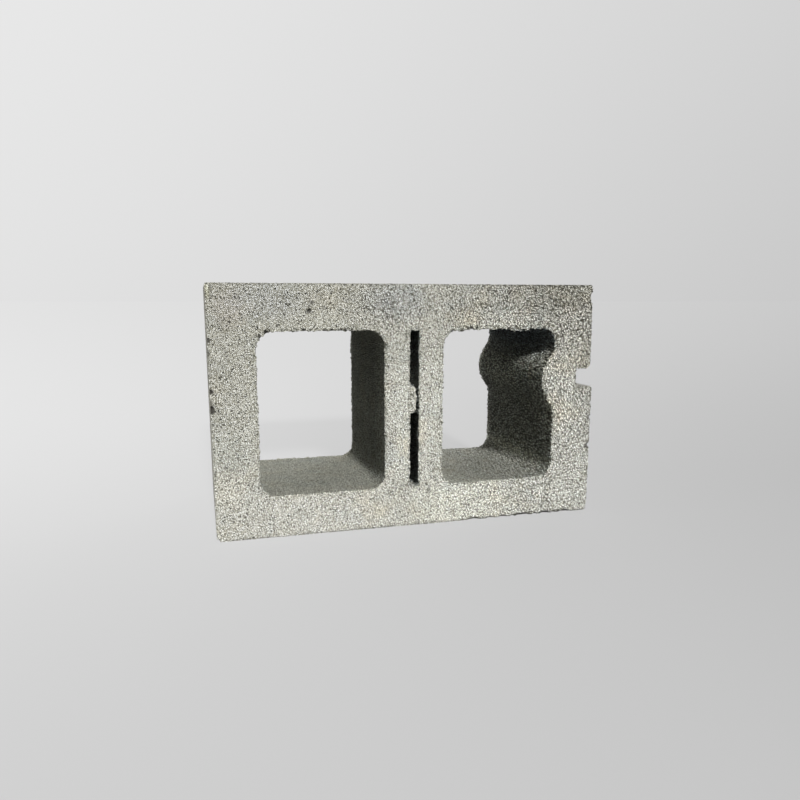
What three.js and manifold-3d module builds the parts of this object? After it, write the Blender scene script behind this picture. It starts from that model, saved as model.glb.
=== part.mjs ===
// A hollow concrete block with two cores, of the sash and breaker kind, cast in one piece.
//
// It is a nominal 16 x 10 x 8 inch unit. One end has a groove for a window or door frame,
// with the core wall thickened behind it. The middle is two thin cross webs with a slot
// between them, where the block is split into two halves on site. A bridge ties the webs.
//
// The block is drawn as it is moulded and laid: X along its length, Y across the wall and
// Z up through the cores, with the thick rims on the top bed. At the end it is tipped onto
// its inner face shell, so that the cores look forward along -Y and +Z is up.

import * as THREE from 'three';
import { mergeVertices } from 'three/addons/utils/BufferGeometryUtils.js';
import Module from 'manifold-3d';

// Driving dimensions, in millimetres.

// Outside: each is a nominal size in inches less the 3/8 inch mortar joint.
const LENGTH = 396.9;
const WIDTH = 244.5;
const HEIGHT = 193.7;
const ARRIS_RADIUS = 2; // the mould's four upright corners

// Walls, at the top bed, where they are thickest.
const INNER_SHELL = 41.5; // the face shell that the tipped block lies on
const OUTER_SHELL = 44.5;
const PLAIN_END_WALL = 43.5;
const SASH_END_WALL = 45.5;
const CROSS_WEB = 26; // each of the two webs beside the breaker slot

// Cores: tapered, so that the mould's core bars pull out.
const CORE_DRAFT = 6.5; // how far each core wall stands back at the bottom bed
const CORE_CORNER_RADIUS = 15;

// The bulge on the core wall behind the sash groove.
const BULGE_HEIGHT = 13.5;
const BULGE_TIP_RADIUS = 39;
const BULGE_FILLET_RADIUS = 17;
const BULGE_TO_OUTER_FACE = 98.5; // from the bulge's middle

// The sash groove, down the whole end face.
const GROOVE_WIDTH = 19;
const GROOVE_DEPTH = 20;
const GROOVE_TO_OUTER_FACE = 96.8; // from the groove's middle, 3 13/16 inches
const GROOVE_OUTER_LIP_RADIUS = 6;
const GROOVE_INNER_LIP_RADIUS = 2;

// The breaker slot and the bridge that ties its two webs.
const SLOT_WIDTH = 9;
const SLOT_DRAFT = 0.6;
const SLOT_CORNER_RADIUS = 2.5;
const BRIDGE_WIDTH = 25;
const BRIDGE_TO_OUTER_FACE = 114; // from the bridge's middle
const BRIDGE_RECESS = 5; // below the top bed

// Modelling values.
const ARC_STEPS = 4; // each arc gets twice as many segments
const OVERRUN = 10; // how far a cutter runs past the face that it opens
const BRIDGE_EMBED = 5; // how far the bridge's stop runs into each web

// Places that follow from the dimensions.
const CORE_LENGTH =
  (LENGTH - PLAIN_END_WALL - SASH_END_WALL - 2 * CROSS_WEB - SLOT_WIDTH) / 2;
const PLAIN_CORE_START = PLAIN_END_WALL;
const SLOT_START = PLAIN_CORE_START + CORE_LENGTH + CROSS_WEB;
const SASH_CORE_START = SLOT_START + SLOT_WIDTH + CROSS_WEB;
const GROOVE_MIDDLE = WIDTH - GROOVE_TO_OUTER_FACE;
const BULGE_MIDDLE = WIDTH - BULGE_TO_OUTER_FACE;
const BRIDGE_MIDDLE = WIDTH - BRIDGE_TO_OUTER_FACE;

const CONCRETE_COLOR = 0xaaa89e;
const CONCRETE_ROUGHNESS = 0.95;

const wasm = await Module();
wasm.setup();

function toSolid(geometry) {
  const bare = geometry.clone();
  bare.deleteAttribute('normal');
  bare.deleteAttribute('uv');
  const merged = mergeVertices(bare);
  return new wasm.Manifold(
    new wasm.Mesh({
      numProp: 3,
      vertProperties: new Float32Array(merged.attributes.position.array),
      triVerts: new Uint32Array(merged.index.array),
    }),
  );
}

function toGeometry(solid) {
  const { vertProperties, triVerts } = solid.getMesh();
  const geometry = new THREE.BufferGeometry();
  geometry.setAttribute('position', new THREE.BufferAttribute(vertProperties, 3));
  geometry.setIndex(new THREE.BufferAttribute(triVerts, 1));
  geometry.computeVertexNormals();
  return geometry;
}

// A closed solid between two outlines that have as many points each.
function loft(lowOutline, lowZ, highOutline, highZ) {
  const count = lowOutline.length;
  const ring = (outline, z) => outline.flatMap((point) => [point.x, point.y, z]);
  const positions = [...ring(lowOutline, lowZ), ...ring(highOutline, highZ)];
  const indices = [];
  for (let i = 0; i < count; i += 1) {
    const next = (i + 1) % count;
    indices.push(i, next, count + next, i, count + next, count + i);
  }
  for (const [a, b, c] of THREE.ShapeUtils.triangulateShape(lowOutline, [])) {
    indices.push(a, c, b, count + a, count + b, count + c);
  }
  const geometry = new THREE.BufferGeometry();
  geometry.setAttribute('position', new THREE.Float32BufferAttribute(positions, 3));
  geometry.setIndex(indices);
  return geometry;
}

// A cutter through both beds. Its outline stands back by the draft at the bottom bed.
function taperedCutter(outlineStoodBack, draft) {
  const standBackAt = (z) => (draft * (HEIGHT - z)) / HEIGHT;
  const [lowZ, highZ] = [-OVERRUN, HEIGHT + OVERRUN];
  const low = outlineStoodBack(standBackAt(lowZ));
  const high = outlineStoodBack(standBackAt(highZ));
  return toSolid(loft(low, lowZ, high, highZ));
}

// The rounded bulge, drawn upwards on a wall at x = wall: a fillet, the tip and a fillet,
// each tangent to the next.
function drawBulge(path, wall) {
  const reach = BULGE_TIP_RADIUS + BULGE_FILLET_RADIUS;
  const turn = Math.acos((reach - BULGE_HEIGHT) / reach);
  const halfSpan = reach * Math.sin(turn);
  const filletX = wall - BULGE_FILLET_RADIUS;
  const tipX = wall - BULGE_HEIGHT + BULGE_TIP_RADIUS;
  path.absarc(filletX, BULGE_MIDDLE - halfSpan, BULGE_FILLET_RADIUS, 0, turn, false);
  path.absarc(tipX, BULGE_MIDDLE, BULGE_TIP_RADIUS, Math.PI + turn, Math.PI - turn, true);
  path.absarc(filletX, BULGE_MIDDLE + halfSpan, BULGE_FILLET_RADIUS, -turn, 0, false);
}

// A rectangle between the face shells with rounded corners, run anticlockwise.
function roundedOutline(startX, length, radius, back, drawOnFarWall = () => {}) {
  const [left, right] = [startX - back, startX + length + back];
  const [low, high] = [INNER_SHELL - back, WIDTH - OUTER_SHELL + back];
  const path = new THREE.Path();
  path.absarc(left + radius, low + radius, radius, Math.PI, 1.5 * Math.PI, false);
  path.absarc(right - radius, low + radius, radius, -0.5 * Math.PI, 0, false);
  drawOnFarWall(path, right);
  path.absarc(right - radius, high - radius, radius, 0, 0.5 * Math.PI, false);
  path.absarc(left + radius, high - radius, radius, 0.5 * Math.PI, Math.PI, false);
  return path.getPoints(ARC_STEPS);
}

function plainCore() {
  const outline = (back) =>
    roundedOutline(PLAIN_CORE_START, CORE_LENGTH, CORE_CORNER_RADIUS, back);
  return taperedCutter(outline, CORE_DRAFT);
}

function sashCore() {
  const outline = (back) =>
    roundedOutline(SASH_CORE_START, CORE_LENGTH, CORE_CORNER_RADIUS, back, drawBulge);
  return taperedCutter(outline, CORE_DRAFT);
}

// The slot between the cross webs, without the bridge that stays in it.
function breakerSlot() {
  const outline = (back) =>
    roundedOutline(SLOT_START, SLOT_WIDTH, SLOT_CORNER_RADIUS, back);
  const bridgeTop = HEIGHT - BRIDGE_RECESS;
  const bridge = new THREE.BoxGeometry(
    SLOT_WIDTH + 2 * BRIDGE_EMBED,
    BRIDGE_WIDTH,
    bridgeTop + 2 * OVERRUN,
  );
  bridge.translate(SLOT_START + SLOT_WIDTH / 2, BRIDGE_MIDDLE, bridgeTop / 2 - OVERRUN);
  return taperedCutter(outline, SLOT_DRAFT).subtract(toSolid(bridge));
}

// The outside of the block: a rectangle with small round corners, and the sash groove in
// its far end. A groove lip is an outside corner, so its arc turns about a point in the
// concrete.
function bodyOutline() {
  const r = ARRIS_RADIUS;
  const grooveLow = GROOVE_MIDDLE - GROOVE_WIDTH / 2;
  const grooveHigh = GROOVE_MIDDLE + GROOVE_WIDTH / 2;
  const grooveFloor = LENGTH - GROOVE_DEPTH;
  const innerLip = GROOVE_INNER_LIP_RADIUS;
  const outerLip = GROOVE_OUTER_LIP_RADIUS;
  const quarter = 0.5 * Math.PI;

  const shape = new THREE.Shape();
  shape.absarc(r, r, r, 2 * quarter, 3 * quarter, false);
  shape.absarc(LENGTH - r, r, r, -quarter, 0, false);
  shape.absarc(LENGTH - innerLip, grooveLow - innerLip, innerLip, 0, quarter, false);
  shape.lineTo(grooveFloor, grooveLow);
  shape.lineTo(grooveFloor, grooveHigh);
  shape.absarc(LENGTH - outerLip, grooveHigh + outerLip, outerLip, -quarter, 0, false);
  shape.absarc(LENGTH - r, WIDTH - r, r, 0, quarter, false);
  shape.absarc(r, WIDTH - r, r, quarter, 2 * quarter, false);
  return shape;
}

function concreteBlock() {
  const body = new THREE.ExtrudeGeometry(bodyOutline(), {
    depth: HEIGHT,
    bevelEnabled: false,
    curveSegments: ARC_STEPS,
  });
  const solid = toSolid(body)
    .subtract(plainCore())
    .subtract(sashCore())
    .subtract(breakerSlot());
  const concrete = new THREE.MeshStandardMaterial({
    color: CONCRETE_COLOR,
    roughness: CONCRETE_ROUGHNESS,
    metalness: 0,
  });
  const mesh = new THREE.Mesh(toGeometry(solid), concrete);
  mesh.name = 'concrete_block';
  return mesh;
}

// Tip the block from its bed onto its inner face shell, with the origin below its middle.
const block = concreteBlock();
block.rotation.x = Math.PI / 2;
block.position.set(-LENGTH / 2, HEIGHT / 2, 0);

const part = new THREE.Group();
part.add(block);

export default part;
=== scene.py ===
# %% [markdown]
# # A hollow concrete block
#
# A block of this kind is cast from a stiff, dry mix that is shaken into a steel mould and
# pushed out at once. That leaves two kinds of surface. The beds, where the mix was struck
# off, are open and grainy. The walls of the cores slid along steel, and are denser.
# Every rim is brittle, so small grains are missing all along it.
#
# The lesson models the block once, as clean solid shapes, and then ages it the way a real
# one ages: arrises wear, rims crumble and corners chip. The finish comes last.

# %% Load the solid model
import math
from contextlib import contextmanager

import bmesh
import bpy
import numpy as np
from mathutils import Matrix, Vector
from mathutils.kdtree import KDTree


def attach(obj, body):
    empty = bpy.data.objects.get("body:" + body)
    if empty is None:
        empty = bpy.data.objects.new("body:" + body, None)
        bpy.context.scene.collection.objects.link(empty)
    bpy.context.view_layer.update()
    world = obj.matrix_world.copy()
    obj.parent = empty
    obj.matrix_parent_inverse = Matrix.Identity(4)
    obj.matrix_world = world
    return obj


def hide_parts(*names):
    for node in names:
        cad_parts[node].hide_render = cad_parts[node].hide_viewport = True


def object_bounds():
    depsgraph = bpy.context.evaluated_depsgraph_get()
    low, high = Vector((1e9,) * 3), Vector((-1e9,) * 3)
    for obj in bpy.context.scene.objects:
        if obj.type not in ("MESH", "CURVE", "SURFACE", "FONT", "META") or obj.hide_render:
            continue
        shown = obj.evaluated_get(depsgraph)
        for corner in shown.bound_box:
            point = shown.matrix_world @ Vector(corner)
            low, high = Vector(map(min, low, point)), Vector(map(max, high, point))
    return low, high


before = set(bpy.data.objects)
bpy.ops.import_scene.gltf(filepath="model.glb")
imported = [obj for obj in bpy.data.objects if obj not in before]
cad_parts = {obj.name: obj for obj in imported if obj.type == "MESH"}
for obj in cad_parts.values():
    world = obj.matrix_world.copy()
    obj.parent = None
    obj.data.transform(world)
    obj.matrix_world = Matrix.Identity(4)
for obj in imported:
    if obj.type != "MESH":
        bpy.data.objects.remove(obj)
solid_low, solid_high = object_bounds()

print("solid model, in metres:", [round(high - low, 4) for low, high in zip(solid_low, solid_high)])

# %% [markdown]
# ## Sizes
#
# The outside comes from the solid model, so that the finished block fits it exactly. The
# walls, the cores, the groove and the slot are the sizes a block maker would quote. Z is
# up, X runs along the block towards the grooved end, and the cores run along Y. The bed
# with the thick rims looks forward, to -Y.

# %% Sizes of the block, in metres
MM = 0.001
LEFT, RIGHT = solid_low.x, solid_high.x
FRONT, BACK = solid_low.y, solid_high.y
FLOOR, TOP = solid_low.z, solid_high.z
DEPTH = BACK - FRONT

INNER_SHELL = 41.5 * MM  # the lower face shell, at the front bed
OUTER_SHELL = 44.5 * MM  # the upper one
PLAIN_END_WALL = 43.5 * MM
SASH_END_WALL = 45.5 * MM
CROSS_WEB = 26.0 * MM
SLOT_WIDTH = 9.0 * MM
ARRIS_RADIUS = 1.2 * MM

CORE_LENGTH = (RIGHT - LEFT - PLAIN_END_WALL - SASH_END_WALL - 2 * CROSS_WEB - SLOT_WIDTH) / 2
CORE_LOW, CORE_HIGH = FLOOR + INNER_SHELL, TOP - OUTER_SHELL
PLAIN_CORE_LEFT = LEFT + PLAIN_END_WALL
SLOT_LEFT = PLAIN_CORE_LEFT + CORE_LENGTH + CROSS_WEB
SLOT_MIDDLE = SLOT_LEFT + SLOT_WIDTH / 2
SLOT_WORN = 0.4 * MM  # the slot's right side has worn back this much
SLOT_RIGHT = SLOT_LEFT + SLOT_WIDTH + SLOT_WORN
SASH_CORE_LEFT = SLOT_LEFT + SLOT_WIDTH + CROSS_WEB

CORE_DRAFT = 6.5 * MM  # each core wall stands back this much more at the back bed
CORE_CORNER_RADIUS = 15.0 * MM
SOFT_CORNER_RADIUS = 18.0 * MM  # the upper left corner, worn softer
SLOT_DRAFT = 0.6 * MM
SLOT_CORNER_RADIUS = 2.5 * MM
BRIDGE_WIDTH = 25.0 * MM  # the bit of concrete across the slot, measured up the slot
BRIDGE_MIDDLE = TOP - 114.0 * MM
BRIDGE_GAP = 1.8 * MM  # between the bridge and the right-hand web
OVERRUN = 10.0 * MM  # how far a cutter runs past the face that it opens
SKIRT = 20.0 * MM  # the band along the outside that is well clear of the cores

print("each core is", round(CORE_LENGTH / MM, 1), "mm wide at the front bed")

# %% [markdown]
# ## Working by hand, in code
#
# Each step below could be clicked: add a primitive, go into edit mode, pick some faces or
# edges, and run one tool. These helpers do the picking. Parts are found by where they are
# or look, never by their number, so a step still works when the one before it changes.


# %% Helpers for picking and editing
def pick(thing):
    """Makes this the one selected and active object."""
    bpy.ops.object.select_all(action="DESELECT")
    thing.select_set(True)
    bpy.context.view_layer.objects.active = thing


def box_between(low, high):
    """A cube primitive, stretched to run between two corners."""
    low, high = Vector(low), Vector(high)
    bpy.ops.object.select_all(action="DESELECT")
    bpy.ops.mesh.primitive_cube_add(size=1, location=(low + high) / 2)
    made = bpy.context.object
    bpy.ops.transform.resize(value=high - low)
    bpy.ops.object.transform_apply(location=True, rotation=True, scale=True)
    return made


@contextmanager
def editing(thing):
    """Puts an object in edit mode for the steps inside, and takes it out again."""
    pick(thing)
    bpy.ops.object.mode_set(mode="EDIT")
    yield
    bpy.ops.object.mode_set(mode="OBJECT")


def pick_parts(thing, kind, wanted):
    """In edit mode, selects the edges or faces that pass the test."""
    bpy.ops.mesh.select_mode(type=kind)
    bpy.ops.mesh.select_all(action="DESELECT")
    mesh = bmesh.from_edit_mesh(thing.data)
    for part in mesh.edges if kind == "EDGE" else mesh.faces:
        part.select_set(wanted(part))
    bmesh.update_edit_mesh(thing.data)


def pick_edges(thing, wanted=lambda at: True, long_only=False):
    """Edges with both ends where they are wanted. Long ones join the front to the back."""

    def passes(edge):
        start, end = (corner.co for corner in edge.verts)
        is_long = abs(start.y - end.y) > DEPTH / 2
        return wanted(start) and wanted(end) and (is_long or not long_only)

    pick_parts(thing, "EDGE", passes)


def apply_modifier(thing, kind, **settings):
    """Adds a modifier with these settings and applies it."""
    pick(thing)
    added = thing.modifiers.new(kind.title(), kind)
    for name, value in settings.items():
        setattr(added, name, value)
    bpy.ops.object.modifier_apply(modifier=added.name)


def cut_away(thing, cutter):
    """Takes the cutter's shape out of the thing, and deletes the cutter."""
    apply_modifier(thing, "BOOLEAN", operation="DIFFERENCE", solver="EXACT", object=cutter)
    bpy.data.objects.remove(cutter)


# %% [markdown]
# ## The outside
#
# The block starts as a cube at its full size. Its four long arrises get a small bevel,
# because a steel mould never has a knife-sharp corner. The groove for the window frame is
# cut down the whole end with a second cube, and its two lips are then rounded. The upper
# lip is the softer one, and at the front bed its edge is pushed over a little by hand.

# %% The outside, with the sash groove
GROOVE_WIDTH = 19.0 * MM
GROOVE_DEPTH = 20.0 * MM
GROOVE_MIDDLE = TOP - 96.8 * MM
UPPER_LIP_RADIUS = 5.0 * MM
LOWER_LIP_RADIUS = 2.0 * MM
LIP_LEAN = 2.6 * MM  # how far the upper lip leans in at the front bed
TOP_LEAN = 4.0 * MM  # the same, at the upper right corner
NEAR = 0.1 * MM  # two places this close are the same place

block = box_between(solid_low, solid_high)
block.name = "concrete_block_cast"
with editing(block):
    pick_edges(block, long_only=True)
    bpy.ops.mesh.bevel(offset=ARRIS_RADIUS, segments=4)

groove_low, groove_high = GROOVE_MIDDLE - GROOVE_WIDTH / 2, GROOVE_MIDDLE + GROOVE_WIDTH / 2
groove = box_between(
    (RIGHT - GROOVE_DEPTH, FRONT - OVERRUN, groove_low),
    (RIGHT + OVERRUN, BACK + OVERRUN, groove_high),
)
cut_away(block, groove)

lip_x, lip_y = RIGHT - GROOVE_DEPTH / 2, FRONT + NEAR
with editing(block):
    for lip_z, lip_radius in ((groove_low, LOWER_LIP_RADIUS), (groove_high, UPPER_LIP_RADIUS)):
        pick_edges(block, lambda at: abs(at.x - RIGHT) < NEAR and abs(at.z - lip_z) < NEAR)
        bpy.ops.mesh.bevel(offset=lip_radius, segments=6)

    # All of the edge above the groove moves first, and then its upper end moves the rest.
    for lowest, step in ((groove_high, LIP_LEAN), (TOP - 2 * ARRIS_RADIUS, TOP_LEAN - LIP_LEAN)):
        pick_edges(block, lambda at: at.x > lip_x and at.y < lip_y and at.z > lowest - NEAR)
        bpy.ops.transform.translate(value=(-step, 0, 0))
print("outside:", len(block.data.polygons), "faces")

# %% [markdown]
# ## The cores
#
# A core is the hole that a steel bar leaves. The bar is tapered, or it would never pull
# out, so each cutter is a cube whose back face is scaled up. Bevelling its long edges
# afterwards keeps the corner radius the same all the way through.


# %% Tapered cutters for the cores
def tapered_cutter(left, right, draft):
    """A cutter between the face shells that grows by the draft from front bed to back bed."""
    start = -draft * OVERRUN / DEPTH
    end = draft * (1 + OVERRUN / DEPTH)
    cutter = box_between(
        (left - start, FRONT - OVERRUN, CORE_LOW - start),
        (right + start, BACK + OVERRUN, CORE_HIGH + start),
    )
    middle = Vector(((left + right) / 2, BACK, (CORE_LOW + CORE_HIGH) / 2))
    half_x, half_z = (right - left) / 2, (CORE_HIGH - CORE_LOW) / 2
    growth = ((half_x + end) / (half_x + start), 1, (half_z + end) / (half_z + start))
    with editing(cutter):
        pick_parts(cutter, "FACE", lambda face: face.normal.y > 0.9)
        bpy.ops.transform.resize(value=growth, center_override=middle)
    return cutter


def round_long_edges(cutter, radius, upper_left_radius):
    """Rounds the four long edges. The upper left one may be softer than the rest."""
    middle = sum((Vector(corner) for corner in cutter.bound_box), Vector()) / 8
    with editing(cutter):
        for softer, width in ((True, upper_left_radius), (False, radius)):
            pick_edges(cutter, lambda at: (at.x < middle.x and at.z > middle.z) == softer, True)
            bpy.ops.mesh.bevel(offset=width, segments=8)


plain_core_right = PLAIN_CORE_LEFT + CORE_LENGTH
plain_core = tapered_cutter(PLAIN_CORE_LEFT, plain_core_right, CORE_DRAFT)
round_long_edges(plain_core, CORE_CORNER_RADIUS, SOFT_CORNER_RADIUS)
cut_away(block, plain_core)
print("with one core:", len(block.data.polygons), "faces")

# %% [markdown]
# ## The core behind the groove
#
# The groove eats 20 mm out of the end wall, so the mould puts the concrete back on the
# other side, as a rounded bulge on the core wall. It is three arcs that run into each
# other: a fillet, the tip and a fillet. To draw it, the cutter's wall is cut in three
# places, the middle edge is pushed in until the flanks lie along the tangents, and the
# three edges are bevelled.

# %% The sash core, with its bulge
BULGE_HEIGHT = 13.5 * MM
BULGE_TIP_RADIUS = 39.0 * MM
BULGE_FILLET_RADIUS = 17.0 * MM
BULGE_MIDDLE = TOP - 98.5 * MM
BEVEL_FIT = 0.98  # keeps two neighbouring bevels just apart

reach = BULGE_TIP_RADIUS + BULGE_FILLET_RADIUS
turn = math.acos((reach - BULGE_HEIGHT) / reach)
fillet_bevel = BULGE_FILLET_RADIUS * math.tan(turn / 2)
tip_bevel = BULGE_TIP_RADIUS * math.tan(turn)
flank_half_span = reach * math.sin(turn) - fillet_bevel
push_in = flank_half_span * math.tan(turn)

sash_core_right = SASH_CORE_LEFT + CORE_LENGTH
sash_core = tapered_cutter(SASH_CORE_LEFT, sash_core_right, CORE_DRAFT)
round_long_edges(sash_core, CORE_CORNER_RADIUS, SOFT_CORNER_RADIUS)
far_wall = sash_core_right - CORE_CORNER_RADIUS / 2
foot, head = BULGE_MIDDLE - flank_half_span, BULGE_MIDDLE + flank_half_span
with editing(sash_core):
    for bend_z in (foot, BULGE_MIDDLE, head):
        bpy.ops.mesh.select_all(action="SELECT")
        bpy.ops.mesh.bisect(plane_co=(0, 0, bend_z), plane_no=(0, 0, 1))
    pick_edges(sash_core, lambda at: at.x > far_wall and abs(at.z - BULGE_MIDDLE) < NEAR)
    bpy.ops.transform.translate(value=(-push_in, 0, 0))
    far_wall -= push_in
    for bend_z, width in ((BULGE_MIDDLE, tip_bevel), (foot, fillet_bevel), (head, fillet_bevel)):
        pick_edges(sash_core, lambda at: at.x > far_wall and abs(at.z - bend_z) < NEAR)
        bpy.ops.mesh.bevel(offset=width * BEVEL_FIT, segments=8)
cut_away(block, sash_core)
print("with both cores:", len(block.data.polygons), "faces")

# %% [markdown]
# ## The breaker slot
#
# Two thin webs stand side by side in the middle, with a slot between them, so that the
# block can be split into two half blocks with one blow. A small bridge, set back from the
# front bed, holds the webs together until then. It is easiest to take the bridge out of
# the slot's cutter first, and then cut the slot in one go.

# %% The slot, and the bridge left standing in it
BRIDGE_RECESS = 5.0 * MM
BRIDGE_EMBED = 5.0 * MM  # how far the bridge's stand-in runs into each web

slot = tapered_cutter(SLOT_LEFT, SLOT_RIGHT, SLOT_DRAFT)
round_long_edges(slot, SLOT_CORNER_RADIUS, SLOT_CORNER_RADIUS)
bridge = box_between(
    (SLOT_LEFT - BRIDGE_EMBED, FRONT + BRIDGE_RECESS, BRIDGE_MIDDLE - BRIDGE_WIDTH / 2),
    (SLOT_LEFT + SLOT_WIDTH + BRIDGE_EMBED, BACK + 2 * OVERRUN, BRIDGE_MIDDLE + BRIDGE_WIDTH / 2),
)
cut_away(slot, bridge)
cut_away(block, slot)
print("cast shape:", len(block.data.polygons), "faces")

# %% [markdown]
# ## A guide for the wear
#
# Wear happens at rims, so the later steps need to know how far each point is from one. A
# copy of the clean shape is stripped down to its sharp edges. It is never rendered: it is
# only something to measure against.

# %% A wire copy of the sharp edges
SHARP = math.radians(35)

pick(block)
bpy.ops.object.duplicate()
rims = bpy.context.object
with editing(rims):
    bpy.ops.mesh.select_mode(type="EDGE")
    bpy.ops.mesh.select_all(action="DESELECT")
    bpy.ops.mesh.edges_select_sharp(sharpness=SHARP)
    bpy.ops.mesh.select_all(action="INVERT")
    bpy.ops.mesh.delete(type="EDGE_FACE")
print("rim guide:", len(rims.data.edges), "edges")

# %% [markdown]
# ## Knocks
#
# Blocks are stacked, dropped and levered about, and lose pieces from their corners and arrises.
# Each knock is a lumpy ball, sunk into the edge it broke and taken away from the block. The lumps
# come from a cloud texture read in world space, so two balls in different places never break the
# edge the same way. Shade is painted into most knocks later.


# %% Lumpy balls
def clouds(name, size, depth=2):
    """A soft noise texture for the Displace modifier."""
    texture = bpy.data.textures.new(name, "CLOUDS")
    texture.noise_basis = "IMPROVED_PERLIN"
    texture.noise_scale = size
    texture.noise_depth = depth
    return texture


lump_noise = clouds("lump noise", 4.0 * MM)


def lumpy_ball(middle, size):
    """A ball of this size along X, Y and Z, with an uneven surface."""
    bpy.ops.object.select_all(action="DESELECT")
    bpy.ops.mesh.primitive_ico_sphere_add(subdivisions=4, radius=0.5, location=middle)
    ball = bpy.context.object
    bpy.ops.transform.resize(value=size)
    bpy.ops.object.transform_apply(location=True, rotation=True, scale=True)
    lumps = {"texture": lump_noise, "texture_coords": "GLOBAL", "mid_level": 0.5}
    apply_modifier(ball, "DISPLACE", strength=0.5 * min(size), **lumps)
    return ball


# %% Break the edges that were knocked
# Each knock is a middle and a size, in millimetres, and how dark the shade painted into it is, up
# to 1.
KNOCKS = (
    ((-199, -98, 192.8), (5.6, 9, 3.6), 0.9),  # nicks down the left arris
    ((-199.2, -98, 180.5), (5, 10, 4.2), 0.6),
    ((-198.8, -98, 145.7), (6.4, 10, 3.8), 1),
    ((-199, -98, 134), (5, 10, 5), 0.6),
    ((-197.6, -98, 128.6), (4.4, 9, 6.4), 1),
    ((-199.6, -98.4, 40), (4, 6, 6), 0.3),
    ((-193.6, -97.6, 238.5), (2.2, 5, 13), 0.3),  # a crack behind the upper left corner
    ((-200.6, -98.4, -1.6), (11, 44, 10), 0.2),  # the lower left corner
    ((198.6, -97.4, 0), (6, 6, 5), 0.3),  # and the lower right one
    ((197.6, -99, 231), (11.5, 18, 15), 0),  # down the right arris
    ((196.6, -98, 119.8), (5, 8, 3.4), 0.3),
    ((197.6, -98, 104.5), (5.5, 9, 4), 0.7),
    ((198.4, -98, 73.6), (9, 10, 5), 0.8),
    ((65, -97.4, 0), (14, 8, 4.4), 0.6),  # dents along the lower arris
    ((84, -97.4, 0), (7, 7, 3.6), 0.6),
    ((99, -97.4, 0), (9, 8, 4.4), 0.8),
    ((110, -97.4, 0), (5, 7, 3.6), 0.6),
    ((122, -97.4, 0), (17, 8, 4.8), 0.9),
    ((136, -97.4, 0), (6, 7, 4), 0.7),
    ((148, -97.4, 0), (11, 8, 5), 0.9),
    ((159, -97.4, 0), (6, 7, 4), 0.7),
    ((171, -97.4, 0), (15, 8, 4.4), 0.8),
    ((-145.1, -97.6, 199.6), (3.6, 8, 3.4), 1),  # the plain core's upper left corner
    ((-150.8, -97.6, 194.4), (3.6, 8, 3.4), 0.4),
    ((-104.7, -97.2, 218.8), (3.4, 9, 3), 0.8),  # two pits in the bed
    ((-101.7, -97, 226.2), (2.8, 7, 2.4), 0.6),
    ((137.6, -97.6, 143), (4, 9, 8), 0.4),  # the foot of the bulge
    ((143.6, -97.6, 131), (4, 9, 9), 0.4),
    ((-109.9, -97.4, 201.4), (2.8, 6, 2.2), 1),  # pits along the cores' upper rims, with painted shade
    ((-90.6, -97.4, 200.8), (2.4, 6, 2), 0.9),
    ((-84, -97.4, 200.9), (2.4, 6, 2), 0.9),
    ((-74.4, -97.4, 201.2), (2.6, 6, 2.2), 0.9),
    ((-70.2, -97.4, 201), (2.4, 6, 2.2), 1),
    ((39.2, -97.4, 198.6), (2.4, 6, 2.4), 1),
    ((48.4, -97.4, 199), (3.2, 6, 2.2), 1),
    ((55.5, -97.4, 201), (2.2, 6, 2.2), 0.9),
    ((59, -97.4, 201.4), (2.8, 6, 2.4), 1),
    ((64.8, -97.4, 201.4), (2.2, 6, 2.2), 0.9),
    ((-30, -97.6, 183.9), (3.4, 8, 7), 0.4),  # chips high on the cores' right rims
    ((140.6, -97.8, 192.5), (4, 8, 5), 0.5),
)

for middle, size, _ in KNOCKS:
    cut_away(block, lumpy_ball(Vector(middle) * MM, Vector(size) * MM))
print("knocked", len(KNOCKS), "places:", len(block.data.polygons), "faces")

# %% [markdown]
# ## The crumbs
#
# Nothing strikes off the bridge, so its front stays a loose heap of crumbs, and a gap runs
# down between it and the right-hand web. Other crumbs hang under the top rims of both
# cores, and a few fell into the foot of the slot. All are small lumpy balls, joined to the
# block. They need no boolean, because the next step fuses everything that overlaps.

# %% The gap beside the bridge
BRIDGE_GAP_DEPTH = 14.0 * MM

half_gap = 0.6 * BRIDGE_WIDTH  # a little more than half the bridge
gap = box_between(
    (SLOT_RIGHT - BRIDGE_GAP, FRONT, BRIDGE_MIDDLE - half_gap),
    (SLOT_RIGHT, FRONT + BRIDGE_GAP_DEPTH, BRIDGE_MIDDLE + half_gap),
)
cut_away(block, gap)
print("with a gap:", len(block.data.polygons), "faces")

# %% Crumbs on the bridge, in the slot and under the rims
CRUMBS = 60
CRUMB_SIZE = 2.8 * MM  # roughly, on the bridge
SUNK, HEAP = 0.2, 2.8  # how far in the heap starts and how deep it is, in half sizes
SMALLEST, LARGEST = 0.6, 1.25  # next to that size
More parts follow.
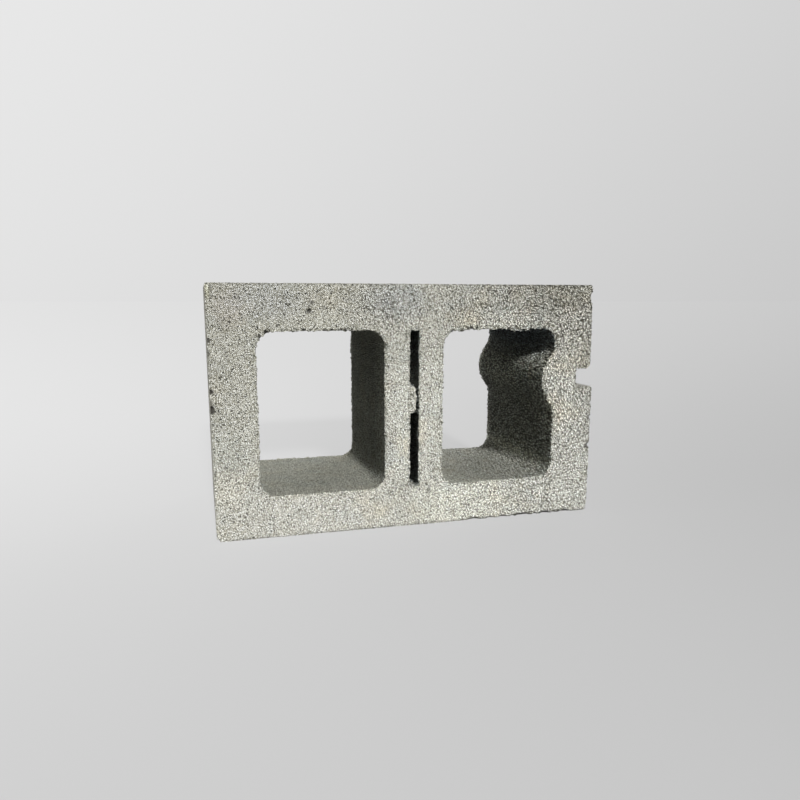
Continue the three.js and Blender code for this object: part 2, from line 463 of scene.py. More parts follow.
# Each loose crumb elsewhere is a middle and a size, in millimetres.
LOOSE_CRUMBS = (
    ((102.6, -95.2, 198.9), 3.6),  # under the sash core's top rim
    ((106.2, -95, 198), 3.2),
    ((109.8, -95.2, 199.4), 3),
    ((113.4, -95, 198.6), 3.4),
    ((119.6, -95.2, 198.8), 3.4),
    ((123.4, -95, 198.4), 3),
    ((-4.6, -94.2, 45), 6),  # in the foot of the slot
    ((-4.4, -94.2, 41.2), 6.4),
    ((-0.4, -94, 41.8), 5.6),
    ((3, -94, 40.4), 3.8),
    ((42.6, -95, 199.6), 3.4),  # under the sash core's top rim again
    ((46, -95, 199.2), 3.6),
    ((49.8, -95, 199.2), 3.6),
    ((53.4, -95, 200), 3.2),
    ((56.6, -95, 200.6), 2.8),
    ((62, -95, 200.6), 2.8),
    ((66.4, -95, 199.8), 3.6),
    ((71.4, -95, 200.6), 2.8),
    ((-120, -95.2, 200.6), 3.2),  # under the plain core's top rim
    ((-70.4, -95.2, 200.6), 3.4),
)
chance = np.random.default_rng(7)
heap_width = SLOT_RIGHT - BRIDGE_GAP - CRUMB_SIZE / 2 - SLOT_LEFT

crumbs = []
for _ in range(CRUMBS):
    across, depth, along = chance.uniform(0, 1, 3)
    middle = (
        SLOT_LEFT + heap_width * across,
        FRONT + BRIDGE_RECESS + (SUNK - HEAP * depth) * CRUMB_SIZE / 2,
        BRIDGE_MIDDLE + BRIDGE_WIDTH * (along - 0.5),
    )
    size = CRUMB_SIZE * chance.uniform(SMALLEST, LARGEST)
    crumbs.append(lumpy_ball(middle, (size,) * 3))
for middle, size in LOOSE_CRUMBS:
    crumbs.append(lumpy_ball(Vector(middle) * MM, Vector((size,) * 3) * MM))
pick(block)
for crumb in crumbs:
    crumb.select_set(True)
bpy.ops.object.join()
print("joined", len(crumbs), "crumbs")

# %% [markdown]
# ## From solid shape to surface
#
# So far the flat faces are single polygons, with nothing in them to roughen. A voxel
# remesh rebuilds the block, knocks and crumbs as one even skin of small squares. It also
# takes the knife edge off every rim, which concrete never has.

# %% One even skin
VOXEL = 0.8 * MM

apply_modifier(block, "REMESH", mode="VOXEL", voxel_size=VOXEL)
print("skin:", len(block.data.polygons), "faces")

# %% [markdown]
# ## Where the surface is rough
#
# Four vertex groups steer the rest. "bed" holds the two faces that were struck off, and
# "grazed" the end wall of the sash core where it tore, at the bulge and along the foot.
# Both are picked by place. "rim" fades out from the sharp edges of the guide, and "core
# rim" does so only inside the outer band of the block. The proximity modifier measures
# these two, since that is what it is for.

# %% Vertex groups for beds, torn wall and rims
RIM_REACH = 4.0 * MM
BED_DEPTH = 1.5 * VOXEL
GRAZED_MIDDLE = 145.0 * MM  # along X
GRAZED_REACH = 14.0 * MM  # to either side of that
GRAZED_BELOW_BULGE = 5.0 * MM  # how far below the bulge's middle it starts


def all_points(thing):
    """The places of a mesh's points, one to a row."""
    places = np.empty(len(thing.data.vertices) * 3)
    thing.data.vertices.foreach_get("co", places)
    return places.reshape(-1, 3)


x, y, z = all_points(block).T
on_bed = (y < FRONT + BED_DEPTH) | (y > BACK - BED_DEPTH)
inside = (np.abs(x) < RIGHT - SKIRT) & (z > FLOOR + SKIRT) & (z < TOP - SKIRT)
grazed = (np.abs(x - GRAZED_MIDDLE) < GRAZED_REACH) & (y < 0) & (z > CORE_LOW) & (z < CORE_HIGH)
grazed &= (z > BULGE_MIDDLE - GRAZED_BELOW_BULGE) | (z < CORE_LOW + CORE_CORNER_RADIUS)


def new_vertex_group(name, chosen):
    """A vertex group that holds the chosen points in full."""
    block.vertex_groups.new(name=name).add(np.flatnonzero(chosen).tolist(), 1.0, "REPLACE")


new_vertex_group("bed", on_bed)
new_vertex_group("grazed", grazed)
for name, chosen in (("rim", np.ones_like(inside)), ("core rim", inside)):
    new_vertex_group(name, chosen)
    measured = {"target": rims, "proximity_mode": "GEOMETRY", "proximity_geometry": {"EDGE"}}
    reach = {"min_dist": RIM_REACH, "max_dist": 0.0}
    apply_modifier(block, "VERTEX_WEIGHT_PROXIMITY", vertex_group=name, **measured, **reach)
print("bed points:", int(on_bed.sum()), "of", len(on_bed), "- grazed:", int(grazed.sum()))

# %% [markdown]
# ## Roughen it
#
# Displace modifiers do the wearing. The rims crumble most, in bites a few millimetres long,
# and the beds are open and grainy. The moulded walls are only a little uneven, with a few
# pits where air was caught against the steel. Most of these only push inwards, because a
# block can lose concrete but never gain it. The crumbs at the rims and the torn wall go
# both ways, since some grains are left standing there.


# %% Wear, from the rims to the whole skin
def bitten(texture, start, full):
    """Keeps only the strong part of a texture, so that it bites here and there."""
    texture.use_color_ramp = True
    low, high = texture.color_ramp.elements
    low.position, low.color = start, (0, 0, 0, 1)
    high.position, high.color = full, (1, 1, 1, 1)
    return texture


def wear_away(texture, depth, group="", middle=0.0):
    """Pushes the surface in where the texture is brighter than middle, and else out."""
    where = {"texture_coords": "LOCAL", "vertex_group": group, "mid_level": middle}
    apply_modifier(block, "DISPLACE", texture=texture, strength=-depth, **where)


wear_away(bitten(clouds("rim bites", 5.0 * MM), 0.6, 0.7), 1.8 * MM, "rim")
wear_away(bitten(clouds("rim crumbs", 2.6 * MM, 1), 0.38, 0.62), 1.5 * MM, "rim", 0.4)
wear_away(bitten(clouds("core rim crumbs", 3.0 * MM, 1), 0.38, 0.62), 2.0 * MM, "core rim", 0.5)
wear_away(bitten(clouds("torn wall", 2.0 * MM, 1), 0.3, 0.7), 0.4 * MM, "grazed", 0.5)
wear_away(clouds("bed grain", 3.0 * MM, 3), 0.7 * MM, "bed")
wear_away(bitten(clouds("air pits", 7.0 * MM), 0.66, 0.8), 0.9 * MM)
wear_away(clouds("unevenness", 30.0 * MM), 0.25 * MM)
print("worn, before it is thinned:", [round(size, 4) for size in block.dimensions], "m")

# %% [markdown]
# ## Thin it out
#
# The skin has far more faces than a render needs. Decimate takes out the ones that say
# least. The "rim" group tells it to spare the broken edges, where the shape is busiest, and
# the torn wall is added to that group first.

# %% Fewer faces, most of them at the rims
FACES_KEPT = 192_000
TORN_WALL_SHARE = 0.3  # how much the torn wall is spared, next to a rim's 1
RIM_WEIGHT = 0.00001  # even a tiny factor steers this modifier strongly

block.vertex_groups["rim"].add(np.flatnonzero(grazed).tolist(), TORN_WALL_SHARE, "ADD")
apply_modifier(block, "TRIANGULATE")
sparing = {"vertex_group": "rim", "invert_vertex_group": True, "vertex_group_factor": RIM_WEIGHT}
apply_modifier(block, "DECIMATE", ratio=FACES_KEPT / len(block.data.polygons), **sparing)
print("thinned skin:", len(block.data.polygons), "faces")

# %% [markdown]
# ## Pressed back into the mould
#
# The mould is where the block ends, so no grain may stand outside it. Points that do are
# laid on the face they crossed, just as the steel would have pressed them flat.

# %% Keep every point inside the outside faces
SMOOTH_BELOW = math.radians(30)  # bends flatter than this are shaded smooth

places = np.clip(all_points(block), np.array(solid_low), np.array(solid_high))
block.data.vertices.foreach_set("co", places.ravel())
block.data.update()
pick(block)
bpy.ops.object.shade_smooth_by_angle(angle=SMOOTH_BELOW)
print("block:", [round(size, 4) for size in block.dimensions], "m")

# %% [markdown]
# ## Marks for the material
#
# The material wants to know three things that it can't see for itself: how near a rim is, whether a
# point is on an open bed or on a wall that slid along steel, and how much shade is painted into a
# knock there. All three are stored on the mesh as attributes, measured again because thinning moved
# the points.

# %% Attributes for rims, beds and painted shade in knocks
RIM_SAMPLE = 1.0 * MM
RIM_FADE = 6.0 * MM
BED_FADE = 2.5 * MM
SHADE_REACH = 1.6  # how far painted shade lies round a knock, in half sizes of the knock
SHADE_FADE = 0.4  # over the last of these it fades

samples = []
for edge in rims.data.edges:
    start, end = (rims.data.vertices[corner].co for corner in edge.vertices)
    steps = max(1, round((end - start).length / RIM_SAMPLE))
    samples += [start.lerp(end, step / steps) for step in range(steps + 1)]
rim_tree = KDTree(len(samples))
for number, sample in enumerate(samples):
    rim_tree.insert(sample, number)
rim_tree.balance()


def store(name, values):
    attribute = block.data.attributes.new(name, "FLOAT", "POINT")
    attribute.data.foreach_set("value", np.clip(values, 0, 1).astype(np.float32))


to_rim = np.array([rim_tree.find(corner.co)[2] for corner in block.data.vertices])
to_bed = np.minimum(places[:, 1] - FRONT, BACK - places[:, 1])
store("near_rim", 1 - to_rim / RIM_FADE)
store("near_bed", 1 - to_bed / BED_FADE)
# painted shade in and round each knock
knock_shading = np.zeros(len(places))
for middle, size, painted_shade in KNOCKS:
    from_knock = np.linalg.norm((places / MM - middle) / (np.array(size) / 2), axis=1)
    knock_shading = np.maximum(knock_shading, painted_shade * np.clip((SHADE_REACH - from_knock) / SHADE_FADE, 0, 1))
store("knock_shade", knock_shading)
bpy.data.objects.remove(rims)
print("points near a rim:", int((to_rim < RIM_FADE).sum()))

# %% [markdown]
# ## Building blocks for materials
#
# Concrete is grains in paste at several scales, and each scale is the same recipe with
# other numbers. So the recipe is a node group with named inputs and outputs, built once
# and placed as often as it is needed. These helpers keep the wiring short to read.


# %% Helpers for nodes
def add(kind, inputs=None, tree=None, **settings):
    """Adds a node. Each input is another node's output, or a plain value.

    The tree is needed only where no input is another node's output."""
    linked = bpy.types.NodeSocket
    inputs = inputs or {}
    tree = tree or next(value.id_data for value in inputs.values() if isinstance(value, linked))
    made = tree.nodes.new(kind)
    for name, value in settings.items():
        setattr(made, name, value)
    for name, value in inputs.items():
        if isinstance(value, linked):
            tree.links.new(value, made.inputs[name])
        else:
            made.inputs[name].default_value = value
    return made


def math_node(operation, *values, clamp=False):
    inputs = dict(enumerate(values))
    return add("ShaderNodeMath", inputs, operation=operation, use_clamp=clamp).outputs[0]


def times(first, second):
    return math_node("MULTIPLY", first, second)


def times_plus(first, second, third):
    return math_node("MULTIPLY_ADD", first, second, third)


def vector_node(operation, *values):
    """Vector maths. A length or a dot product comes out as a number, the rest as a vector."""
    made = add("ShaderNodeVectorMath", dict(enumerate(values)), operation=operation)
    return made.outputs["Value" if operation in ("LENGTH", "DOT_PRODUCT") else "Vector"]


def fade(value, start, end, low=0.0, high=1.0):
    """Turns the stretch from start to end into a soft step from low to high."""
    inputs = {"Value": value, "From Min": start, "From Max": end, "To Min": low, "To Max": high}
    made = add("ShaderNodeMapRange", inputs, interpolation_type="SMOOTHSTEP")
    return made.outputs["Result"]


def blend(factor, first, second, mode="MIX"):
    """Mixes two colours. These sockets share their names, so they go by number."""
    inputs = {0: factor, 6: first, 7: second}
    return add("ShaderNodeMix", inputs, data_type="RGBA", blend_type=mode).outputs[2]


def rgba(levels):
    """A colour from red, green and blue, or from one level of grey."""
    return (*(levels if isinstance(levels, tuple) else (levels,) * 3), 1)


def new_group(name, inputs, outputs):
    """A node group. An input is a number with a default, or a vector, with None for it."""
    tree = bpy.data.node_groups.new(name, "ShaderNodeTree")
    for socket, value in inputs.items():
        kind = "NodeSocketVector" if value is None else "NodeSocketFloat"
        made = tree.interface.new_socket(socket, in_out="INPUT", socket_type=kind)
        if value is not None:
            made.default_value = value
    for socket in outputs:
        tree.interface.new_socket(socket, in_out="OUTPUT", socket_type="NodeSocketFloat")
    return tree, tree.nodes.new("NodeGroupInput").outputs, tree.nodes.new("NodeGroupOutput").inputs


def place(group, inputs):
    """Places a node group, with its own values."""
    return add("ShaderNodeGroup", inputs, node_tree=group).outputs


# %% [markdown]
# ## Grains
#
# A Voronoi texture scatters points through space and tells how far the nearest one is.
# A ball round each point is a grain, and what lies far from every point is the gap between
# grains. A surface that cuts through such balls shows rounds of every size, as broken
# concrete does. Each point also has a random colour, which decides whether there is a
# grain at all, and how strong it is.

# %% The grain group
inputs = {"Position": None, "Size": 0.002, "Share": 0.5, "Radius": 0.4, "Randomness": 1.0}
grain_group, given, result = new_group(
    "grain", {**inputs, "Seed": 0.0}, ("Grain", "Gap", "Shade", "Dome")
)
radius = given["Radius"]
ball_start, gap_start, gap_end = (times(radius, share) for share in (0.55, 0.85, 1.45))
per_metre = math_node("DIVIDE", 1.0, given["Size"])
spread = vector_node("MULTIPLY_ADD", given["Position"], per_metre, given["Seed"])
inputs = {"Vector": spread, "Scale": 1.0, "Randomness": given["Randomness"]}
cells = add("ShaderNodeTexVoronoi", inputs)
distance = cells.outputs["Distance"]
chance_of = add("ShaderNodeSeparateColor", {"Color": cells.outputs["Color"]})
present = math_node("LESS_THAN", chance_of.outputs["Red"], given["Share"])
ball = fade(distance, ball_start, radius, 1, 0)
dome = fade(distance, 0.0, 0.9, 1, 0)
grain_group.links.new(times(present, ball), result["Grain"])
grain_group.links.new(fade(distance, gap_start, gap_end), result["Gap"])
grain_group.links.new(chance_of.outputs["Green"], result["Shade"])
grain_group.links.new(dome, result["Dome"])
print(grain_group.name, "group:", len(grain_group.nodes), "nodes")

# %% [markdown]
# ## Stains and patches
#
# Weathering works at a much larger scale: patches where the paste is thicker, dirt that
# has run down, dust that has settled. One soft noise with a threshold makes any of these
# that may lie anywhere. The ones that lie in a known place get a second group, which is
# full in the middle of an egg shape and fades to its edge.

# %% The stain group
inputs = {"Position": None, "Size": 0.05, "Start": 0.45, "Full": 0.65, "Seed": 0.0}
stain_group, given, result = new_group("stain", inputs, ("Mask",))
per_metre = math_node("DIVIDE", 1.0, given["Size"])
inputs = {"Vector": given["Position"], "Scale": per_metre, "W": given["Seed"], "Detail": 4.0}
patches = add("ShaderNodeTexNoise", inputs, noise_dimensions="4D")
patches.inputs["Roughness"].default_value = 0.55
stained = fade(patches.outputs["Fac"], given["Start"], given["Full"])
stain_group.links.new(stained, result["Mask"])
print(stain_group.name, "group:", len(stain_group.nodes), "nodes")

# %% The patch group
inputs = {"Position": None, "Middle": None, "Reach": None}
patch_group, given, result = new_group("soft_patch", inputs, ("Mask",))
from_middle = vector_node("SUBTRACT", given["Position"], given["Middle"])
in_reaches = vector_node("DIVIDE", from_middle, given["Reach"])
away = vector_node("LENGTH", in_reaches)
patch_group.links.new(fade(away, 1.0, 0.3), result["Mask"])
print(patch_group.name, "group:", len(patch_group.nodes), "nodes")

# %% [markdown]
# ## The concrete, and where it differs
#
# The mix is the same all through, but it shows in three ways. Beds and crumbs are broken
# open. Core walls slid along steel, which dragged paste over the grains. Outside faces
# were pressed smooth. One material makes them all, with masks from 0 to 1 that say which
# is where.

# %% Masks for beds, core walls and outside faces
OUTSIDE_EDGE, INDOORS_EDGE = 1.2 * SKIRT, 1.4 * SKIRT  # measured in from the outside faces

concrete = bpy.data.materials.new("cast_concrete")
concrete.use_nodes = True
tree = concrete.node_tree
skin = tree.nodes["Principled BSDF"]
position = add("ShaderNodeTexCoord", tree=tree).outputs["Object"]
axes = add("ShaderNodeSeparateXYZ", {"Vector": position}).outputs
# the third attribute holds the painted shade in the knocks
near_rim, near_bed, knock_shade = (
    add("ShaderNodeAttribute", tree=tree, attribute_name=name).outputs["Fac"]
    for name in ("near_rim", "near_bed", "knock_shade")
)


def within(axis, middle, full, empty):
    """1 as near as this to a middle along one axis, fading to 0 further away."""
    away = math_node("ABSOLUTE", math_node("SUBTRACT", axes[axis], middle))
    return fade(away, full, empty, 1, 0)


def by_mask(mask, empty, full):
    """Runs from one value, where the mask is empty, to another, where it is full."""
    return fade(mask, 0, 1, empty, full)


in_slot = within("X", SLOT_MIDDLE, 0.55 * SLOT_WIDTH, 0.9 * SLOT_WIDTH)
at_bridge = within("Z", BRIDGE_MIDDLE, 0.5 * BRIDGE_WIDTH, 0.6 * BRIDGE_WIDTH)
gap_edge = SLOT_RIGHT - BRIDGE_GAP
left_of_gap = fade(axes["X"], gap_edge - 0.6 * MM, gap_edge + 0.2 * MM, 1, 0)
on_bridge = times(times(in_slot, at_bridge), fade(axes["Y"], 0, FRONT))
on_bridge = times(on_bridge, left_of_gap)
on_bed = math_node("MAXIMUM", fade(near_bed, 0.1, 0.9), on_bridge)
off_bed = by_mask(on_bed, 1, 0)
half_height = (TOP - FLOOR) / 2
indoors = times(
    within("X", 0.0, RIGHT - INDOORS_EDGE, RIGHT - OUTSIDE_EDGE),
    within("Z", half_height, half_height - INDOORS_EDGE, half_height - OUTSIDE_EDGE),
)
on_wall = times(off_bed, indoors)
on_outside = times(off_bed, by_mask(indoors, 1, 0))
print("masks:", len(tree.nodes), "nodes")

# %% [markdown]
# ## The grains of this mix
#
# Two sizes of sand overlap, with pores between them. The core walls also have grains that
# the steel dragged, so their grid is stretched along Y. The mix is a little coarser towards
# the grooved end, so every grid widens that way. Along X the widening adds up to a
# logarithm. The grids are turned, too, or the faces would cut them in rows.

# %% Sand, pores and dragged grains
COARSENESS = 1.27  # at the middle of the block, next to the sizes below
COARSER_PER_METRE = 0.62
GRID_TURN = (0.6, 0.4, 0.8)
DRAG = 0.33  # squeezes the position along Y, so that grains come out three times as long

coarser = times_plus(axes["X"], COARSER_PER_METRE, COARSENESS)
across = math_node("LOGARITHM", coarser, math.e)
across = math_node("DIVIDE", across, COARSER_PER_METRE)
inwards = math_node("DIVIDE", axes["Y"], coarser)
upwards = math_node("DIVIDE", axes["Z"], coarser)


def turned_grid(depth):
    grid = add("ShaderNodeCombineXYZ", {"X": across, "Y": depth, "Z": upwards}).outputs[0]
    inputs = {"Vector": grid, "Rotation": GRID_TURN}
    turned = add("ShaderNodeVectorRotate", inputs, rotation_type="EULER_XYZ")
    return turned.outputs[0]


even_grid, dragged_grid = turned_grid(inwards), turned_grid(times(inwards, DRAG))


def grains(grid=even_grid, **values):
    """Places the grain group, with values for the inputs it names."""
    return place(grain_group, {"Position": grid, **values})


sand = grains(Seed=10.0, Size=1.0 * MM, Share=1.0, Radius=0.45, Randomness=0.6)
fine_sand = grains(Seed=20.0, Size=0.85 * MM, Share=1.0, Radius=0.45, Randomness=0.7)
pores = grains(Seed=40.0, Size=1.5 * MM, Share=0.14, Radius=0.5)
scales = grains(dragged_grid, Seed=50.0, Size=1.2 * MM, Share=1.0, Radius=0.5, Randomness=0.8)
crumb_gaps = grains(Seed=60.0, Size=1.3 * MM, Share=0.5, Radius=0.5)
# dots where shade is painted along the rims and the foot
shade_dots = grains(Seed=70.0, Size=2.0 * MM, Share=0.5, Radius=0.55)
print("with grains:", len(tree.nodes), "nodes")

# %% [markdown]
# ## The paste
#
# Paste is the colour under the grains: pale where it is broken open, less so on the outside, and
# darkest on the core walls, partly from the paste the steel dragged and partly as painted shade
# inside the cores. Tints are multiplied over it. Pale dust lies on the floor of the cores, together
# with painted light on the lit floors, and it reaches higher towards the grooved end, up the lit
# lower fillet of the sash core. The walls get painted light near the front bed, where more light
# gets into the cores, and the slot gets a dull blue grey painted shade.

# %% The colour of the paste
BED_PASTE, OUTSIDE_PASTE = (0.80, 0.80, 0.718), (0.68, 0.675, 0.615)
# the core walls' paste is darker partly from the paste the steel dragged and partly as painted
# shade inside the cores
WALL_PASTE_AND_SHADE = (0.42, 0.432, 0.378)
DUST_AND_LIGHT, SLOT_SHADE_TINT, MOUTH_LIGHT_TINT = (1.58, 1.56, 1.54), (0.75, 0.79, 0.84), 1.45
MOUTH_LIGHT_DEPTH = 60 * MM
# Dust and painted light end softly between two heights above the core's floor, at the left and at
# the right.
DUST_AND_LIGHT_STARTS = (1 * MM, 14 * MM)
DUST_AND_LIGHT_ENDS = (8 * MM, 22 * MM)


def tinted(color, mask, tint):
    """The colour, multiplied by a tint where the mask is full."""
    return blend(mask, color, rgba(tint), "MULTIPLY")


floor_slope = CORE_DRAFT / DEPTH
front_floor = CORE_LOW + FRONT * floor_slope
above_floor = times_plus(axes["Y"], floor_slope, axes["Z"])
dust_and_light_start, dust_and_light_end = (
    fade(axes["X"], -0.02, 0.06, *(front_floor + height for height in heights))
    for heights in (DUST_AND_LIGHT_STARTS, DUST_AND_LIGHT_ENDS)
)
# pale dust on the core floors, together with painted light on the lit floors and, in the sash core,
# up its lit lower fillet
dust_and_light = times(on_wall, fade(above_floor, dust_and_light_start, dust_and_light_end, 1, 0))
# painted light on the core walls near the front bed, where more light gets into the cores
mouth_light = times(on_wall, fade(axes["Y"], FRONT, FRONT + MOUTH_LIGHT_DEPTH, 1, 0))
mouth_light = times(mouth_light, times(by_mask(in_slot, 1, 0), by_mask(dust_and_light, 1, 0)))

paste = blend(on_bed, rgba(WALL_PASTE_AND_SHADE), rgba(BED_PASTE))
paste = blend(on_outside, paste, rgba(OUTSIDE_PASTE))
# dust and painted light on the floors of the cores
paste = tinted(paste, dust_and_light, DUST_AND_LIGHT)
# a dull blue grey painted shade inside the slot
paste = tinted(paste, times(in_slot, on_wall), SLOT_SHADE_TINT)
# painted light near the mouth of each core
paste = tinted(paste, mouth_light, MOUTH_LIGHT_TINT)
print("with paste:", len(tree.nodes), "nodes")

# %% [markdown]
# ## Painted light and shade in the cores, and soiled places
#
# Soft patches paint light and shade into the cores. The end wall of the sash core gets painted
# light where the key lamp reaches the bulge and along its lit foot, and bluish painted shade above,
# under the upper shell. The plain core's right wall and the foot of the slot get painted shade. The
# whole block is more soiled towards its upper right, and stains of three sizes break up what is
# still even.

# %% Painted light and shade in the cores, and stains all over
# Each place is a middle and a reach in millimetres, and a tint.
CORE_LIGHT_AND_SHADE = (
    # painted light where the key lamp reaches the bulge's upper flank
    ((148, 25, 158), (35, 170, 36), 2.2),
    # painted light on the lit lower fillet of the sash core
    ((150, 0, 54), (60, 170, 14), 1.4),
    # bluish painted shade under the sash core's upper shell
    ((140, 0, 196), (62, 190, 36), (0.5, 0.58, 0.72)),
    # painted shade on the plain core's right wall
    ((-28, 0, 74), (14, 150, 36), 0.76),
    # painted shade deep in the foot of the slot
    ((0, -60, 42), (9, 80, 10), 0.35),
    # a little darker low in the sash core
    ((90, 0, 38), (75, 150, 20), 0.92),
)


def patch(middle, reach):
    """A mask that is full round this middle and fades out over this reach, both in mm."""
    inputs = {"Position": position, "Middle": Vector(middle) * MM, "Reach": Vector(reach) * MM}
    return place(patch_group, inputs)["Mask"]


def stain(**values):
    """A mask of patches about this large. A higher start makes them rarer."""
    return place(stain_group, {"Position": position, **values})["Mask"]


# each place paints light or shade onto the core walls only
for middle, reach, tint in CORE_LIGHT_AND_SHADE:
    paste = tinted(paste, times(on_wall, patch(middle, reach)), tint)

climb = fade(axes["Z"], 0.02, 0.22)
to_right = fade(axes["X"], 0.0, 0.2)
upper_right = times(climb, to_right)
soiled = times_plus(upper_right, 0.45, times(climb, 0.5))
soiled = times(soiled, stain(Seed=1.0, Size=0.09, Start=0.0, Full=0.45))
paste = tinted(paste, soiled, (0.615, 0.605, 0.575))
paste = tinted(paste, stain(Seed=2.0, Size=0.035, Start=0.5, Full=0.72), (1.04, 1.0, 0.94))
paste = tinted(paste, stain(Seed=3.0, Size=0.03, Start=0.5, Full=0.7), (0.93, 0.95, 0.97))
paste = tinted(paste, stain(Seed=4.0, Size=0.012, Start=0.45, Full=0.7), (0.90, 0.895, 0.89))
print("with stains:", len(tree.nodes), "nodes")

# %% [markdown]
# ## Patches on the front bed
#
# The front bed dried and weathered unevenly. The wide patches here are those broad, soft
# differences. The narrow ones are dark marks: cracks at the foot of the slot, where the
# webs meet the shell, and a scratch near the left arris.

# %% Patches on the front bed
PATCH_DEPTH = 60  # millimetres
# Each patch is a middle and a reach, along and up the bed in millimetres, and a tint.
PATCHES = (
    ((0, 135), (55, 110), (1.17, 1.175, 1.19)),  # the webs, the palest part
    ((160, 150), (50, 80), 1.22),
    ((95, 203), (80, 26), 1.2),
    ((50, 15), (70, 50), (1.17, 1.17, 1.15)),
    ((-115, 18), (110, 50), (1.07, 1.06, 1.07)),
    ((155, 238), (52, 30), (0.86, 0.86, 0.84)),  # soiled upper right corner
    ((-182, 88), (26, 28), (0.94, 0.95, 0.95)),
    ((-184, 50), (26, 26), (1.12, 1.1, 1.08)),
    ((-110, 205), (50, 22), 1.08),
    ((-20, 228), (45, 24), (0.93, 0.95, 0.99)),
    ((-145, 228), (52, 26), (0.95, 0.965, 1.01)),
    ((-180, 222), (20, 26), (1.01, 0.985, 0.99)),
    ((-32, 88), (16, 24), 0.88),
    ((-196, 12), (9, 12), 1.1),
    ((-196.4, 238), (4, 9), (1.3, 1.3, 1.2)),
    ((-2.6, 44.6), (7, 5), 0.6),  # the crumbs in the foot of the slot
    ((-14.5, 43.3), (3, 1.5), 0.5),  # thin cracks at the foot of the slot
    ((-20.8, 42.2), (3.2, 3.6), 0.78),
    ((-10.3, 43.2), (4.5, 1.7), 0.8),
    ((12.2, 42.4), (1.6, 1.6), 0.3),
    ((15.4, 39), (1.4, 5.5), 0.65),
    ((13.4, 36.7), (1.6, 1.8), 0.45),
    ((15.4, 33.7), (1.6, 1.8), 0.45),
    ((22.5, 46.5), (3.6, 1.6), 0.55),
    ((-187, 73), (3, 1.8), 0.55),  # a scratch near the left arris
    ((-182, 70.4), (3, 1.8), 0.6),
)
for (along, up), (wide, high), tint in PATCHES:
    mask = patch((along, FRONT / MM, up), (wide, PATCH_DEPTH, high))
    paste = tinted(paste, mask, tint)
print(len(CORE_LIGHT_AND_SHADE) + len(PATCHES), "patches placed")

# %% [markdown]
# ## Light and dark grains
#
# Sand grains are lighter than the paste, and the gaps between them are darkened with painted shade.
# The contrast is full on the beds, weaker where paste covers the grains, and stronger towards the
# upper right. The dragged grains colour the core walls alone. Light places are a little cooler than
# dark ones. Pores, and the gaps between the bridge's crumbs, go nearly black with painted shade.

# %% The sand, and the pores in it
DARKEST = 0.08  # the least that a gap leaves of the paste's colour
DARK_CAST, LIGHT_CAST = (1.06, 1.03, 0.93), (0.96, 0.975, 1.06)
PORE_SHADE_COLOR = (0.04, 0.038, 0.032)
ROUGH_MIDDLE, ROUGH_REACH = (-25, 0, 225), (60, 200, 40)  # millimetres

shown = fade(near_bed, 0.0, 1.0, 0.7, 1.0)
rougher = fade(axes["X"], -0.02, 0.15, 0.70, 0.98)
rougher = times_plus(upper_right, 0.55, rougher)
rougher = times_plus(patch(ROUGH_MIDDLE, ROUGH_REACH), 0.4, rougher)
strength = times(times(shown, rougher), by_mask(on_outside, 1, 0.75))

lit = times(sand["Grain"], times_plus(sand["Shade"], 1.2, 0.25))
# the gaps between sand grains are darkened: painted shade
lit = times_plus(sand["Gap"], -0.85, lit)
lit = times_plus(times(fine_sand["Grain"], fine_sand["Shade"]), 0.8, lit)
lit = times_plus(fine_sand["Gap"], -0.4, lit)
lit = times(lit, strength)
coarse = times(scales["Grain"], times_plus(scales["Shade"], 1.4, -0.1))
coarse = times_plus(scales["Gap"], -0.8, coarse)
coarse = times(coarse, fade(axes["X"], 0.06, 0.14, 0.6, 1.2))
coarse = times(coarse, by_mask(dust_and_light, 1, 0.55))
lit = times_plus(coarse, on_wall, lit)
mottle = math_node("ADD", lit, 1.0)
mottle = math_node("MAXIMUM", mottle, DARKEST)

cast = blend(fade(mottle, 0.3, 1.7), rgba(DARK_CAST), rgba(LIGHT_CAST))
paste = blend(1.0, paste, cast, "MULTIPLY")
bare = add("ShaderNodeVectorMath", {0: paste, "Scale": mottle}, operation="SCALE")
# pores and the gaps between the bridge's crumbs go nearly black: painted shade
dark = times(pores["Grain"], shown)
dark = math_node("MAXIMUM", dark, times(crumb_gaps["Grain"], on_bridge))
color = blend(dark, bare.outputs[0], rgba(PORE_SHADE_COLOR))
print("with sand:", len(tree.nodes), "nodes")

# %% [markdown]
# ## Painted shade
#
# Painted shade darkens the knocks, dots along the rims, and the lowest arris, as a painted contact
# shadow where the block meets the floor. There it is patchy, and stronger to the right.

# %% Painted shade in knocks, on rims and along the foot
FOOT_LOW, FOOT_HIGH = 1.0 * MM, 2.1 * MM
# one tint for all the painted shade: knocks, rim dots and foot
SHADE_TINT = (0.12, 0.115, 0.11)

# a painted contact shadow in dashes along the lowest arris
foot_shadow = fade(axes["Z"], FOOT_LOW, FOOT_HIGH, 1, 0)
foot_shadow = times(foot_shadow, by_mask(stain(Seed=5.0, Size=0.01, Start=0.42, Full=0.5), 0.45, 1.0))
foot_shadow = times(foot_shadow, fade(axes["X"], LEFT, 0.15, 0.55, 1.0))
foot_shadow = times(foot_shadow, by_mask(shade_dots["Grain"], 0.55, 1.0))
# painted shade in dots along the rims
rim_shade = times(fade(near_rim, 0.72, 0.92), times(shade_dots["Grain"], 0.5))
painted_shade = math_node("MAXIMUM", math_node("MAXIMUM", knock_shade, foot_shadow), rim_shade)
color = tinted(color, painted_shade, SHADE_TINT)
tree.links.new(color, skin.inputs["Base Color"])
print("with dirt:", len(tree.nodes), "nodes")

# %% [markdown]
# ## Relief and finish
#
# The mesh carries the shapes down to about a millimetre. Bump goes on from there, and
# follows the same grains as the colour, so that the lamps find every one of them. Dry
# concrete is as matt as a surface gets, with almost no shine.

